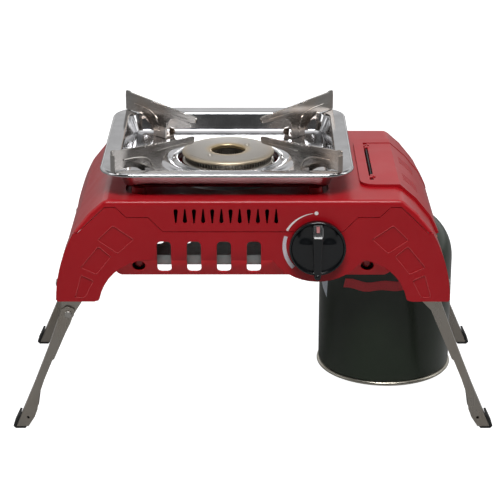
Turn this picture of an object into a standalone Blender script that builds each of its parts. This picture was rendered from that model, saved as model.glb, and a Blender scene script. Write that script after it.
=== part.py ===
"""Folding camp stove with an upright screw-on gas canister.

Body frame while modelling: x to the right, y backwards from the front panel's face, z up from the
ground. All dimensions below are millimetres, and the mesh builders turn them into metres. The empty
"stove" shifts everything so that the origin lies at the middle of the footprint.
"""

from math import atan2, cos, hypot, pi, radians, sin, sqrt

import bmesh
import bpy
from mathutils import Vector

MM = 0.001

# ---- driving dimensions ------------------------------------------------------------------------
BODY_DEPTH = 189.0
DECK_Z = 192.5
DECK_HALF = 113.25
SHOULDER = (136.2, 168.5)
SLOPE_BULGE = (125.3, 181.9)
SIDE_ARC = (32.6, 108.0, 120.0)  # centre x, centre z and radius of the body's curved flank
LEG_SHELL_Z = 110.0
HOOD_SIDE_Z = 154.0
HOOD_WALL = 1.5
FRAME_WALL = 2.0
FRAME_RETURN = 23.5
SEAM_GAP = 0.3
FIT_GAP = 0.35
SEAM = [(140.0, 167.0), (134.2, 166.2), (131.0, 169.6), (112.9, 187.0), (104.7, 187.0),
        (96.4, 178.9), (79.9, 178.9), (68.9, 167.4)]
ARCH = (79.5, 104.6, 40.0)  # centre x, centre z and radius of the arch under each side
BEND_Z = 144.6
LIP_HALF = 106.0
LIP_END = (9.0, 129.0)  # y and z of the slanted lip's lower edge
SCREW_X = 88.0
SCREW_Z = 138.6
BOSS = (49.6, 169.5, 43.0)  # the bulge of the front panel under the knob

FRAME_TOP = SEAM[1][1] - SEAM_GAP

SLOT_XS = [-68.3, -45.3, -22.3, 0.7]
REAR_SLOT_XS = [-68.3, -45.3, -22.3, 0.7, 23.7, 46.7, 69.7]
SLOT_SIZE = (10.9, 132.0, 159.5, 3.2)  # width, lower z, upper z and corner radius
TEAR_COUNT = 12
TEAR_START_X = -58.8
TEAR_PITCH = 6.95
TEAR_SPAN = (174.0, 185.8)
TEAR_WIDE = 1.65
TEAR_NARROW = 0.5

BURNER = (-20.0, 94.5)
PAN_HALF = (97.5, 93.3)
PAN_RIM_Z = 213.0
PAN_FLOOR_Z = 197.0
PAN_SHEET = 0.9
PAN_FLANGE = 13.0
PAN_HOLE = 40.5
TRAY_HALF = (78.5, 80.0)
TRAY_FLOOR_Z = 186.5
TRAY_HOLE = 52.0
CAP_RADIUS = 37.0
CAP_Z = 204.5

LID_Y = (45.0, 143.5)
LID_LEFT = 94.6
LID_RISE = 1.8
BORDER_LEFT = 83.5
BORDER_Y = (33.0, 155.5)
BORDER_RISE = 2.2
LID_AXIS = (93.3, 193.3)
LID_PIN = 0.7
LID_KNUCKLES = ((52.0, 136.5), (56.5, 132.0))  # y of the fixed and of the moving knuckles

KNOB = (49.3, 156.0)
KNOB_RADIUS = 21.7
KNOB_REACH = 15.5
KNOB_BACK = 3.0

CAN = (109.0, 92.0)
CAN_RADIUS = 54.2
CAN_BASE_Z = 21.0
CAN_SHOULDER_Z = 115.0
CAN_TOP_Z = 154.0
CAN_WALL = 1.2

LEG_SLOPE = 40.0 / 96.0  # sideways reach of a leg for its height
FOOT_X = 183.8
LEG_Y = (3.5, 16.5)
LEG_SHEET = 1.2
LEFT_PIVOT = (144.0, 97.8)
RIGHT_PIVOT = (135.0, 117.5)
PIN_RADIUS = 2.2

PLATE_Z = 135.0
PLATE_SHEET = 1.0
PLATE_Y = (14.6, 174.4)

# ---- materials ---------------------------------------------------------------------------------
FINISHES = {  # colour, roughness, metallic
    "red_enamel": ((0.42, 0.012, 0.018), 0.25, 0.0),
    "stainless": ((0.62, 0.60, 0.57), 0.22, 1.0),
    "leg_steel": ((0.42, 0.38, 0.34), 0.35, 1.0),
    "galvanised": ((0.45, 0.48, 0.48), 0.45, 1.0),
    "brass": ((0.66, 0.48, 0.20), 0.3, 1.0),
    "black_plastic": ((0.012, 0.014, 0.016), 0.3, 0.0),
    "red_plastic": ((0.5, 0.01, 0.015), 0.35, 0.0),
    "black_rubber": ((0.015, 0.015, 0.015), 0.8, 0.0),
    "green_enamel": ((0.022, 0.032, 0.022), 0.35, 0.0),
    "aluminium": ((0.58, 0.58, 0.58), 0.4, 1.0),
    "ceramic": ((0.85, 0.84, 0.8), 0.3, 0.0),
}


def material(name):
    """The named finish as a Principled material, made once."""
    found = bpy.data.materials.get(name)
    if found:
        return found
    colour, roughness, metallic = FINISHES[name]
    made = bpy.data.materials.new(name)
    made.use_nodes = True
    shader = made.node_tree.nodes["Principled BSDF"]
    shader.inputs["Base Color"].default_value = (*colour, 1.0)
    shader.inputs["Roughness"].default_value = roughness
    shader.inputs["Metallic"].default_value = metallic
    return made


# ---- outlines ----------------------------------------------------------------------------------
def arc(centre, radius, start, end, steps):
    """Points along a circle, from the start angle to the end angle, in degrees."""
    return [(centre[0] + radius * cos(radians(start + (end - start) * i / steps)),
             centre[1] + radius * sin(radians(start + (end - start) * i / steps)))
            for i in range(steps + 1)]


def circle(centre, radius, steps=32):
    return arc(centre, radius, 0, 360, steps)[:-1]


def filleted(points, radii, steps=4):
    """A closed outline with its corners rounded; radii is one radius or one for each corner."""
    if not hasattr(radii, "__len__"):
        radii = [radii] * len(points)
    made = []
    for i, corner in enumerate(points):
        radius = radii[i]
        if radius <= 0:
            made.append(corner)
            continue
        here = Vector(corner)
        before = (Vector(points[i - 1]) - here).normalized()
        after = (Vector(points[(i + 1) % len(points)]) - here).normalized()
        half = before.angle(after) / 2
        centre = here + (before + after).normalized() * (radius / sin(half))
        reach = radius / (sin(half) / cos(half))
        first = here + before * reach - centre
        last = here + after * reach - centre
        turn = atan2(first.x * last.y - first.y * last.x, first.dot(last))
        for k in range(steps + 1):
            angle = atan2(first.y, first.x) + turn * k / steps
            made.append((centre.x + radius * cos(angle), centre.y + radius * sin(angle)))
    return made


def rectangle(x0, y0, x1, y1, radius=0.0, steps=4):
    return filleted([(x0, y0), (x1, y0), (x1, y1), (x0, y1)], radius, steps)


def offset_path(points, distance):
    """An open path moved sideways, to its right for a positive distance, with mitred corners."""
    made = []
    for i, point in enumerate(points):
        normals = []
        for a, b in ((i - 1, i), (i, i + 1)):
            if a < 0 or b >= len(points):
                continue
            along = (Vector(points[b]) - Vector(points[a])).normalized()
            normals.append(Vector((along.y, -along.x)))
        mean = sum(normals, Vector((0, 0))).normalized()
        made.append(tuple(Vector(point) + mean * (distance / mean.dot(normals[0]))))
    return made


def mirrored(points):
    """The points with x turned round, in reverse order."""
    return [(-x, z) for x, z in reversed(points)]


def flank(z, inset=0.0):
    """x of the body's curved flank at a height."""
    return SIDE_ARC[0] + sqrt((SIDE_ARC[2] - inset) ** 2 - (z - SIDE_ARC[1]) ** 2)


def flank_path(low, high, steps):
    """Points up the right flank between two heights."""
    heights = [low + (high - low) * i / steps for i in range(steps + 1)]
    return [(flank(z), z) for z in heights]


def hood_path():
    """The hood's outer section, from its right lower edge over the deck to its left lower edge."""
    right = flank_path(HOOD_SIDE_Z, SHOULDER[1], 3) + [SLOPE_BULGE, (DECK_HALF, DECK_Z)]
    return right + mirrored(right)


def seam_line(lift):
    """The joint between the hood and a frame, from right to left, moved up by lift."""
    right = [(x, z + lift) for x, z in SEAM]
    return right + mirrored(right)


# ---- solids ------------------------------------------------------------------------------------
AXES = {"Y": lambda u, v, w: (u, w, v), "Z": lambda u, v, w: (u, v, w), "X": lambda u, v, w: (w, u, v)}


def finish_mesh(name, mesh_data, finish):
    """Links a bmesh as an object with outward faces and its material."""
    bmesh.ops.recalc_face_normals(mesh_data, faces=mesh_data.faces)
    mesh = bpy.data.meshes.new(name)
    mesh_data.to_mesh(mesh)
    mesh_data.free()
    made = bpy.data.objects.new(name, mesh)
    bpy.context.scene.collection.objects.link(made)
    if finish:
        mesh.materials.append(material(finish))
    return made


def prism(name, outline, axis, low, high, finish=None):
    """The outline pushed along an axis between two positions."""
    data = bmesh.new()
    place = AXES[axis]
    ends = [[data.verts.new(Vector(place(u, v, w)) * MM) for u, v in outline] for w in (low, high)]
    data.faces.new(ends[0])
    data.faces.new(ends[1])
    count = len(outline)
    for i in range(count):
        k = (i + 1) % count
        data.faces.new((ends[0][i], ends[0][k], ends[1][k], ends[1][i]))
    return finish_mesh(name, data, finish)


def turned(name, profile, centre, axis="Z", steps=32, finish=None):
    """A profile of (radius, height) turned about an axis. It starts and ends on the axis, or is a loop."""
    data = bmesh.new()
    place = AXES[axis]
    rings = []
    for radius, height in profile:
        if radius < 1e-6:
            rings.append([data.verts.new(Vector(place(centre[0], centre[1], height)) * MM)])
            continue
        rings.append([data.verts.new(Vector(place(x, y, height)) * MM)
                      for x, y in circle(centre, radius, steps)])
    pairs = list(zip(rings, rings[1:]))
    if len(rings[0]) > 1:
        pairs.append((rings[-1], rings[0]))
    for low, high in pairs:
        for i in range(steps):
            k = (i + 1) % steps
            corners = [low[i % len(low)], low[k % len(low)], high[k % len(high)], high[i % len(high)]]
            corners = list(dict.fromkeys(corners))
            if len(corners) > 2:
                data.faces.new(corners)
    return finish_mesh(name, data, finish)


def block(name, low, high, finish=None):
    return prism(name, rectangle(low[0], low[1], high[0], high[1]), "Z", low[2], high[2], finish)


def bake(made):
    """Replaces an object's mesh by the one that its modifiers make."""
    bpy.context.view_layer.update()
    graph = bpy.context.evaluated_depsgraph_get()
    made.data = bpy.data.meshes.new_from_object(made.evaluated_get(graph))
    made.modifiers.clear()
    return made


def combine(made, others, operation):
    """Joins, cuts or trims an object with others, which are used up."""
    for other in others:
        modifier = made.modifiers.new(operation.lower(), "BOOLEAN")
        modifier.operation = operation
        modifier.object = other
        bake(made)
        bpy.data.objects.remove(other)
    return made


def join(made, *others):
    return combine(made, others, "UNION")


def cut(made, *others):
    return combine(made, others, "DIFFERENCE")


def bevelled(made, width, segments, angle=35.0):
    modifier = made.modifiers.new("edges", "BEVEL")
    modifier.width = width * MM
    modifier.segments = segments
    modifier.angle_limit = radians(angle)
    return bake(made)


def pipe(name, route, radius, finish, sides=2, per_span=6):
    """A round tube along a smooth curve through the route's points."""
    points = [Vector(p) for p in route]
    padded = [points[0] * 2 - points[1], *points, points[-1] * 2 - points[-2]]
    smooth = []
    for i in range(1, len(padded) - 2):
        p0, p1, p2, p3 = padded[i - 1:i + 3]
        for k in range(per_span):
            t = k / per_span
            smooth.append(0.5 * (2 * p1 + (p2 - p0) * t + (2 * p0 - 5 * p1 + 4 * p2 - p3) * t * t
                                 + (3 * p1 - p0 - 3 * p2 + p3) * t ** 3))
    smooth.append(points[-1])
    curve = bpy.data.curves.new(name, "CURVE")
    curve.dimensions = "3D"
    spline = curve.splines.new("POLY")
    spline.points.add(len(smooth) - 1)
    for place, point in zip(spline.points, smooth):
        place.co = (*(point * MM), 1.0)
    curve.bevel_depth = radius * MM
    curve.bevel_resolution = sides
    curve.use_fill_caps = True
    curve.materials.append(material(finish))
    made = bpy.data.objects.new(name, curve)
    bpy.context.scene.collection.objects.link(made)
    return made


def empty(name, location, parent=None):
    """A named point that pieces hang from, at body coordinates in millimetres."""
    made = bpy.data.objects.new(name, None)
    bpy.context.scene.collection.objects.link(made)
    made.empty_display_size = 0.01
    made["body_point"] = location
    origin = Vector(parent["body_point"]) if parent else Vector((0, 0, 0))
    made.parent = parent
    made.location = (Vector(location) - origin) * MM
    return made


def hang(parent, *pieces):
    """Parents pieces built in body coordinates, and moves their origins to the parent."""
    shift = Vector(parent["body_point"]) * MM
    for piece in pieces:
        if piece.type == "MESH":
            for vertex in piece.data.vertices:
                vertex.co -= shift
            piece.data.shade_smooth()
            piece.data.set_sharp_from_angle(angle=radians(30))
        else:
            for point in piece.data.splines[0].points:
                point.co = (*(point.co.xyz - shift), 1.0)
        piece.parent = parent


# ---- shell -------------------------------------------------------------------------------------
def teardrop(x, wide_on_top):
    """One tapered vent, round at its wide end."""
    low, high = TEAR_SPAN
    wide = high - TEAR_WIDE if wide_on_top else low + TEAR_WIDE
    thin = low if wide_on_top else high
    sign = 1 if wide_on_top else -1
    cap = [(x + px, wide + sign * pz) for px, pz in arc((0, 0), TEAR_WIDE, 0, 180, 4)]
    return cap + [(x - TEAR_NARROW, thin), (x + TEAR_NARROW, thin)]


def below_seam(y0, y1, lift):
    """Everything under the seam line, as a cutter."""
    outline = [(-170, 90), *reversed(seam_line(lift)), (170, 90)]
    outline[1] = (-170, outline[1][1])
    outline[-2] = (170, outline[-2][1])
    return prism("cutter", outline, "Y", y0, y1)


def border_section(rise, low_x):
    """The raised border's section on the deck, slope and flank, from low_x to the side."""
    outer = offset_path(hood_path(), rise)[:6]
    inner = offset_path(hood_path(), -HOOD_WALL)[:6]
    return [(low_x, DECK_Z + rise), *reversed(outer), *inner, (low_x, DECK_Z - HOOD_WALL)]


def build_hood():
    """The painted top case: deck, slopes, skirts, burner tray and the lid's raised border."""
    outer = hood_path()
    low = HOOD_SIDE_Z - 8
    solid = [(outer[0][0] + 2, low), *outer, (outer[-1][0] - 2, low)]
    hood = bevelled(prism("hood", solid, "Y", 0, BODY_DEPTH, "red_enamel"), 3.0, 3)
    inner = offset_path(outer, -HOOD_WALL)
    inner = [(inner[0][0], low - 4), *inner, (inner[-1][0], low - 4)]
    cut(hood, prism("cutter", inner, "Y", HOOD_WALL, BODY_DEPTH - HOOD_WALL),
        block("cutter", (-170, -5, low - 5), (170, BODY_DEPTH + 5, HOOD_SIDE_Z)))
    cut(hood, below_seam(-2, FRAME_RETURN + 0.5, SEAM_GAP),
        below_seam(BODY_DEPTH - FRAME_RETURN - 0.5, BODY_DEPTH + 2, SEAM_GAP))

    tray = [BURNER[0] - TRAY_HALF[0], BURNER[1] - TRAY_HALF[1],
            BURNER[0] + TRAY_HALF[0], BURNER[1] + TRAY_HALF[1]]
    grown = [tray[0] - 1.5, tray[1] - 1.5, tray[2] + 1.5, tray[3] + 1.5]
    join(hood, prism("tray", rectangle(*grown, 15.5), "Z", TRAY_FLOOR_Z - 1.5, DECK_Z - 0.6))
    cut(hood, prism("cutter", rectangle(*tray, 14.0), "Z", TRAY_FLOOR_Z, DECK_Z + 2))
    cut(hood, prism("cutter", circle(BURNER, TRAY_HOLE, 40), "Z", TRAY_FLOOR_Z - 4, DECK_Z + 2))
    for sx in (-1, 1):
        for sy in (-1, 1):
            centre = (BURNER[0] + sx * 68, BURNER[1] + sy * 69)
            top = PAN_FLOOR_Z - PAN_SHEET - FIT_GAP
            join(hood, turned("pad", [(0, TRAY_FLOOR_Z - 0.8), (6.5, TRAY_FLOOR_Z - 0.8), (5, top), (0, top)],
                              centre, steps=16))

    border = prism("border", border_section(BORDER_RISE, BORDER_LEFT), "Y", *BORDER_Y)
    window = rectangle(BORDER_LEFT, BORDER_Y[0], 170, BORDER_Y[1])
    combine(border, [prism("window", filleted(window, [11, 0, 0, 11]), "Z", 140, 200)], "INTERSECT")
    join(hood, border)
    pocket = (LID_LEFT - 3.3, LID_Y[0] - 0.4, LID_Y[1] + 0.4)
    cut(hood, block("cutter", (pocket[0], pocket[1], 140), (170, pocket[2], 200)))

    for i in range(TEAR_COUNT):
        drop = teardrop(TEAR_START_X + i * TEAR_PITCH, i % 2 == 0)
        cut(hood, prism("cutter", drop, "Y", -2, 4))
    for y in LID_KNUCKLES[0]:
        ear = [(90.4, 191.4), (93.4, 191.4), (94.9, 192.6), (94.9, 194.0), (93.8, 195.0), (90.4, 194.6)]
        join(hood, prism("ear", ear, "Y", y - 1.5, y + 1.5))
        cut(hood, prism("cutter", circle(LID_AXIS, LID_PIN + 0.15, 12), "Y", y - 3, y + 3))
    return hood


def lid_section():
    """The lid's section: flat top, slope and flank, a little under the border's height."""
    outer = offset_path(hood_path(), LID_RISE)[:6]
    inner = offset_path(hood_path(), LID_RISE - HOOD_WALL)[:6]
    low = (LID_LEFT, DECK_Z + LID_RISE - HOOD_WALL)
    return [(LID_LEFT, DECK_Z + LID_RISE), *reversed(outer), *inner, low]


def build_lid():
    """The hinged cover over the canister's valve, with its hinge ears and vent slits."""
    lid = prism("canister_lid", lid_section(), "Y", *LID_Y, "red_enamel")
    for y in LID_KNUCKLES[0]:
        cut(lid, block("cutter", (90, y - 2.0, 190), (96.2, y + 2.0, 197)))
    for y in LID_KNUCKLES[1]:
        ear = [(97.5, 194.2), (93.7, 194.9), (92.3, 194.5), (91.75, 193.4), (92.2, 192.2), (93.4, 191.75),
               (94.8, 192.2), (97.5, 193.0)]
        join(lid, prism("ear", ear, "Y", y - 2, y + 2))
        cut(lid, prism("cutter", circle(LID_AXIS, LID_PIN + 0.15, 12), "Y", y - 4, y + 4))
    along = Vector((SHOULDER[0] - DECK_HALF, SHOULDER[1] - DECK_Z)).normalized()
    for first in (LID_Y[0] + 16, LID_Y[0] + 60):
        for i in range(4):
            y = first + i * 4.6
            start = Vector((DECK_HALF + 5.5, DECK_Z - 5.0))
            end = start + along * 17
            slit = [(start.x, y - 0.7), (end.x, y - 0.7), (end.x, y + 0.7), (start.x, y + 0.7)]
            cut(lid, prism("cutter", slit, "Z", 150, 200))
    return lid


def frame_outline(with_boss):
    """The face of a front or rear frame: seam above, arches, bend line and leg shells below."""
    leg_in = ARCH[0] + sqrt(ARCH[2] ** 2 - (LEG_SHELL_Z + 3 - ARCH[1]) ** 2)
    foot = [(123.0, LEG_SHELL_Z), (leg_in + 0.9, LEG_SHELL_Z + 1.0)]
    left = [(-x, z) for x, z in [*foot, *arc(ARCH[:2], ARCH[2], 11.5, 90, 9)]]
    right = [*foot, *arc(ARCH[:2], ARCH[2], 11.5, 82.9 if with_boss else 90, 9)]
    # The boss runs from the bend line to the crown of the right arch.
    bulge = arc(BOSS[:2], BOSS[2], -144.6, -35.9, 14) if with_boss else []
    outer = [(flank(LEG_SHELL_Z) - 1.5, LEG_SHELL_Z), *flank_path(LEG_SHELL_Z + 1.5, FRAME_TOP, 9)]
    seam = seam_line(-SEAM_GAP)[1:-1]
    return [*outer, *seam, *mirrored(outer), *left, *bulge, *reversed(right)]


def leg_quads():
    """The three shallow panels pressed into each leg shell, as corner lists on the right side."""
    return [[(107.0, 172.5), (119.0, 160.5), (103.6, 149.8), (91.2, 161.2)],
            [(118.6, 155.6), (109.0, 147.2), (120.4, 132.6), (132.6, 138.2)],
            [(123.0, 127.4), (132.4, 132.0), (137.6, 113.6), (130.0, 113.4)]]


def build_frame(name, slots, with_boss):
    """A front or rear frame as it stands at the front; the rear one is turned round afterwards."""
    frame = prism(name, frame_outline(with_boss), "Y", 0, FRAME_RETURN, "red_enamel")
    path = offset_path(flank_path(LEG_SHELL_Z - 6, FRAME_TOP, 10), -FRAME_WALL)
    hollow = [*path, (path[-1][0], 200)]
    hollow += mirrored(hollow)
    cut(frame, prism("cutter", hollow, "Y", FRAME_WALL, FRAME_RETURN + 2))
    outer = [(0.0, BEND_Z), LIP_END]
    inner = [(LIP_END[0] + 2.2, LIP_END[1] + 0.6), (1.6, BEND_Z + 2.2)]
    lip = prism("lip", [*outer, *inner], "X", -LIP_HALF, LIP_HALF)
    trim = rectangle(-LIP_HALF - 1, LIP_END[1] - 0.5, LIP_HALF + 1, BEND_Z + 8)
    combine(lip, [prism("trim", filleted(trim, [8, 8, 0, 0]), "Y", -1, 20)], "INTERSECT")
    join(frame, lip)
    slant = LIP_END[0] / (BEND_Z - LIP_END[1])
    wedge = [(-0.01, BEND_Z), (slant * 20 - 0.01, BEND_Z - 20), (-5, BEND_Z - 20), (-5, BEND_Z)]
    for side in (-1, 1):
        x = side * SCREW_X
        boss = prism("boss", circle((x, SCREW_Z), 6.6, 20), "Y", 3.0, 14)
        join(frame, cut(boss, prism("cutter", wedge, "X", x - 9, x + 9)))
        cut(frame, prism("cutter", circle((x, SCREW_Z), 5.1, 20), "Y", -2, 12))
        cut(frame, prism("cutter", circle((x, SCREW_Z), 1.9, 12), "Y", 10, 16))
        for quad in leg_quads():
            panel = [(side * px, pz) for px, pz in quad]
            cut(frame, prism("cutter", panel, "Y", -1, 0.6))
        cut(frame, prism("cutter", circle((10.0, 122.0), 1.9, 12), "X", side * 140, side * 160))
    for x in slots:
        half = SLOT_SIZE[0] / 2
        shape = rectangle(x - half, SLOT_SIZE[1], x + half, SLOT_SIZE[2], SLOT_SIZE[3], 3)
        cut(frame, prism("cutter", shape, "Y", -2, 13))
    if with_boss:
        cut(frame, prism("cutter", circle(KNOB, 8.0, 24), "Y", -2, 13))
    return frame


def turned_round(frame):
    """Turns a frame about the body's middle, so that its face looks backwards."""
    for vertex in frame.data.vertices:
        vertex.co = (-vertex.co.x, BODY_DEPTH * MM - vertex.co.y, vertex.co.z)
    return frame


def build_bottom_plate():
    """The galvanised plate under the burner, with a flange at each end and a bay for the canister."""
    y0, y1 = PLATE_Y
    plate = block("bottom_plate", (-104, y0, PLATE_Z), (104, y1, PLATE_Z + PLATE_SHEET), "galvanised")
    for low in (y0, y1 - PLATE_SHEET):
        join(plate, block("flange", (-104, low, PLATE_Z), (104, low + PLATE_SHEET, PLATE_Z + 8.6)))
    cut(plate, prism("cutter", circle(CAN, CAN_RADIUS + 4, 40), "Z", PLATE_Z - 2, PLATE_Z + 20))
    for y in PLATE_Y:
        for x in (-SCREW_X, SCREW_X):
            cut(plate, prism("cutter", circle((x, SCREW_Z), 1.9, 12), "Y", y - 3, y + 3))
    for i in range(5):
        x = -80 + i * 22
        slot = rectangle(x, 60, x + 8, 130, 3.9, 3)
        cut(plate, prism("cutter", slot, "Z", PLATE_Z - 2, PLATE_Z + 3))
    return plate


def build_heat_shield():
    """The folded sheet that stands between the burner and the canister."""
    low = PLATE_Z + PLATE_SHEET + FIT_GAP
    shield = block("heat_shield", (44.6, 130, low), (45.6, 152, 182), "galvanised")
    join(shield, block("foot", (38, 130, low), (45.6, 152, low + 1)))
    top = prism("top", rectangle(63, 47, 64, 152), "Z", 152, 183.6)
    join(shield, prism("web", rectangle(44.6, 151, 64, 152), "Z", 152, 182), top)
    return shield


# ---- pan and pot supports ----------------------------------------------------------------------
def pan_loop(inset, steps=6):
    """The pan's rounded outline, pulled in from the rim's edge."""
    hx, hy = PAN_HALF[0] - inset, PAN_HALF[1] - inset
    radius = max(24.0 - inset * 0.85, 6.0)
    return rectangle(BURNER[0] - hx, BURNER[1] - hy, BURNER[0] + hx, BURNER[1] + hy, radius, steps)


def build_pan():
    """The pressed stainless drip pan: rolled rim, flange, sloping wall, floor and burner hole."""
    data = bmesh.new()
    depth = PAN_RIM_Z - PAN_FLOOR_Z
    top = [(0.0, -2.6), (0.5, -0.6), (2.0, 0.0), (PAN_FLANGE, -0.3), (PAN_FLANGE + 1.6, -1.8),
           (PAN_FLANGE + 6.5, 1.6 - depth), (PAN_FLANGE + 8.5, -depth)]
    under = [(PAN_FLANGE + 8.2, -depth - PAN_SHEET), (PAN_FLANGE + 5.6, 1.2 - depth),
             (PAN_FLANGE + 0.6, -2.4), (PAN_FLANGE - 0.2, -1.2), (2.2, -0.9), (1.3, -1.2), (0.9, -2.6)]
    rings = []
    for inset, drop in [*top, *under]:
        rings.append([data.verts.new(Vector((x, y, PAN_RIM_Z + drop)) * MM) for x, y in pan_loop(inset)])
    count = len(rings[0])
    floor_top, floor_under = rings[len(top) - 1], rings[len(top)]
    order = rings[len(top):] + rings[:len(top)]
    for low, high in zip(order, order[1:]):
        for i in range(count):
            k = (i + 1) % count
            data.faces.new((low[i], low[k], high[k], high[i]))
    data.faces.new(floor_top)
    data.faces.new(floor_under)
    pan = finish_mesh("drip_pan", data, "stainless")
    floor = PAN_FLOOR_Z
    collar = [(PAN_HOLE - 1, floor - 0.6), (PAN_HOLE - 1, floor + 1.0), (PAN_HOLE + 1.2, floor + 2.0),
              (PAN_HOLE + 2.8, floor + 1.6), (PAN_HOLE + 4.6, floor - 0.3)]
    join(pan, turned("collar", collar, BURNER, steps=40))
    cut(pan, prism("cutter", circle(BURNER, PAN_HOLE, 40), "Z", floor - 5, floor + 6))
    return pan


def support_outline():
    """A pot support's blade seen from its side: distance from the burner's axis, and height."""
    rim = PAN_RIM_Z + FIT_GAP
    outer = 123.4
    teeth = []
    first, last, count = 88.0, 48.0, 10
    pitch = (first - last) / count
    for i in range(count):
        at = first - i * pitch
        teeth += [(at, blade_top(at)), (at - pitch * 0.5, blade_top(at) - 1.1),
                  (at - pitch * 0.62, blade_top(at - pitch) - 0.1)]
    tip = [(39.5, blade_top(38)), (37.4, blade_top(38) - 0.7), (36.8, blade_top(38) - 2.0),
           (38.2, 218.4), (40.2, 217.6)]
    under = [(64.0, 217.0), (70.5, 214.6), (73.5, 210.0), (74.2, 200.8), (74.2, PAN_FLOOR_Z + FIT_GAP)]
    foot = [(89.0, PAN_FLOOR_Z + FIT_GAP), (89.0, 203.0), (96.0, 208.6), (103.0, rim + 0.6), (110.0, rim)]
    return [(outer, rim), (outer, 229.8), (119.6, 229.8), (118.2, blade_top(118.2)), *teeth, *tip,
            *under, *foot]


def blade_top(distance):
    """Height of a pot support's upper edge, which falls a little towards the burner."""
    return 223.3 + (distance - 37.0) * 0.0665


def build_support(name, sx, sy):
    """A pot support: toothed blade on the pan's diagonal, a wing across it and a riveted foot."""
    made = prism(name, support_outline(), "Y", -0.8, 0.8, "stainless")
    wing = [(86.6, PAN_FLOOR_Z + 1.2), (87.8, PAN_FLOOR_Z + 1.2), (92.4, 211.6), (91.2, 211.6)]
    join(made, prism("wing", wing, "Y", -0.4, 13.0))
    foot = rectangle(75.2, -0.6, 89.0, 12.5, 2.5, 3)
    base = PAN_FLOOR_Z + FIT_GAP
    join(made, prism("foot", foot, "Z", base, base + 1.4))
    cut(made, prism("cutter", circle((81.5, 7.2), 1.9, 12), "Z", base - 2, base + 5))
    angle = atan2(sy, sx)
    flip = -1 if sx * sy < 0 else 1
    for vertex in made.data.vertices:
        x, y = vertex.co.x, vertex.co.y * flip
        vertex.co.x = BURNER[0] * MM + x * cos(angle) - y * sin(angle)
        vertex.co.y = BURNER[1] * MM + x * sin(angle) + y * cos(angle)
    if flip < 0:
        data = bmesh.new()
        data.from_mesh(made.data)
        bmesh.ops.reverse_faces(data, faces=data.faces)
        data.to_mesh(made.data)
        data.free()
    return made


# ---- burner ------------------------------------------------------------------------------------
def build_burner():
    """Cap, slotted flame ring, cast bowl and mixing tube."""
    cap = turned("burner_cap", [(13.6, CAP_Z - 2.4), (13.6, CAP_Z - 0.6), (14.6, CAP_Z), (35.4, CAP_Z),
                                (36.6, CAP_Z - 0.7), (CAP_RADIUS, CAP_Z - 2.2), (35.9, CAP_Z - 2.2),
                                (35.2, CAP_Z - 1.2), (15.0, CAP_Z - 1.2), (14.8, CAP_Z - 2.4)],
                 BURNER, steps=48, finish="stainless")
    ring_top = CAP_Z - 1.2 - FIT_GAP
    ring = turned("flame_ring", [(17.0, ring_top), (33.6, ring_top), (34.6, ring_top - 0.5),
                                 (34.6, ring_top - 5.6), (36.4, ring_top - 5.6), (36.4, ring_top - 7.4),
                                 (17.0, ring_top - 7.4)], BURNER, steps=48, finish="stainless")
    cutter = None
    for i in range(0, 48):
        angle = 2 * pi * i / 48
        across = Vector((-sin(angle), cos(angle))) * 0.75
        out = Vector((cos(angle), sin(angle)))
        near, far = Vector(BURNER) + out * 31.5, Vector(BURNER) + out * 35.4
        slot = [tuple(near - across), tuple(far - across), tuple(far + across), tuple(near + across)]
        made = prism("cutter", slot, "Z", ring_top - 5.0, ring_top - 1.2)
        if cutter is None:
            cutter = made
        else:
            append_mesh(cutter, made)
    cut(ring, cutter)
    bowl_top = ring_top - 7.4 - FIT_GAP
    bowl = turned("burner_bowl", [(0, 160.5), (22, 160.5), (31, 168), (33.6, 180), (33.6, bowl_top),
                                  (31.2, bowl_top), (31.2, 180), (29, 169), (21, 163), (0, 163)],
                  BURNER, steps=32, finish="aluminium")
    cut(bowl, prism("cutter", circle((BURNER[1], 173.0), 8.6, 24), "X", 0, 30))
    tube = turned("mixing_tube", [(8.2, BURNER[0] + 31.8), (8.2, 30), (9.6, 40), (9.6, 41.5), (8.4, 41.5),
                                  (8.4, 40), (7.0, 30), (7.0, BURNER[0] + 31.8)], (BURNER[1], 173.0), "X",
                  steps=24, finish="aluminium")
    return cap, ring, bowl, tube


def append_mesh(target, other):
    """Adds another object's separate mesh to a cutter, and uses it up."""
    data = bmesh.new()
    data.from_mesh(target.data)
    data.from_mesh(other.data)
    data.to_mesh(target.data)
    data.free()
    bpy.data.objects.remove(other)


def build_electrode():
    """The spark electrode beside the flame ring, its bent tip and the lead from the igniter."""
    angle = radians(-19)
    spot = (BURNER[0] + 38.6 * cos(angle), BURNER[1] + 38.6 * sin(angle))
    ceramic = turned("spark_ceramic", [(0, 176), (1.9, 176), (1.9, 189), (1.5, 190), (1.5, 197.0), (0, 197.0)],
                     spot, steps=14, finish="ceramic")
    toward = Vector((BURNER[0] - spot[0], BURNER[1] - spot[1])).normalized()
    tip_end = Vector(spot) + toward * 1.4
    tip = pipe("spark_tip", [(*spot, 197.4), (*spot, 199.6), (*tip_end, 200.8)], 0.5, "stainless", 2, 4)
    lead = pipe("igniter_lead", [(*spot, 175.6), (spot[0] + 1, spot[1] - 3, 166), (22, 60, 156),
                                 (29, 47, 152), (33, 40.6, 152)], 1.1, "black_rubber", 2, 5)
    piezo = block("piezo_igniter", (27.5, 18, 146), (37.5, 40, 158), "black_plastic")
    return ceramic, tip, lead, bevelled(piezo, 1.2, 1)


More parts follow.
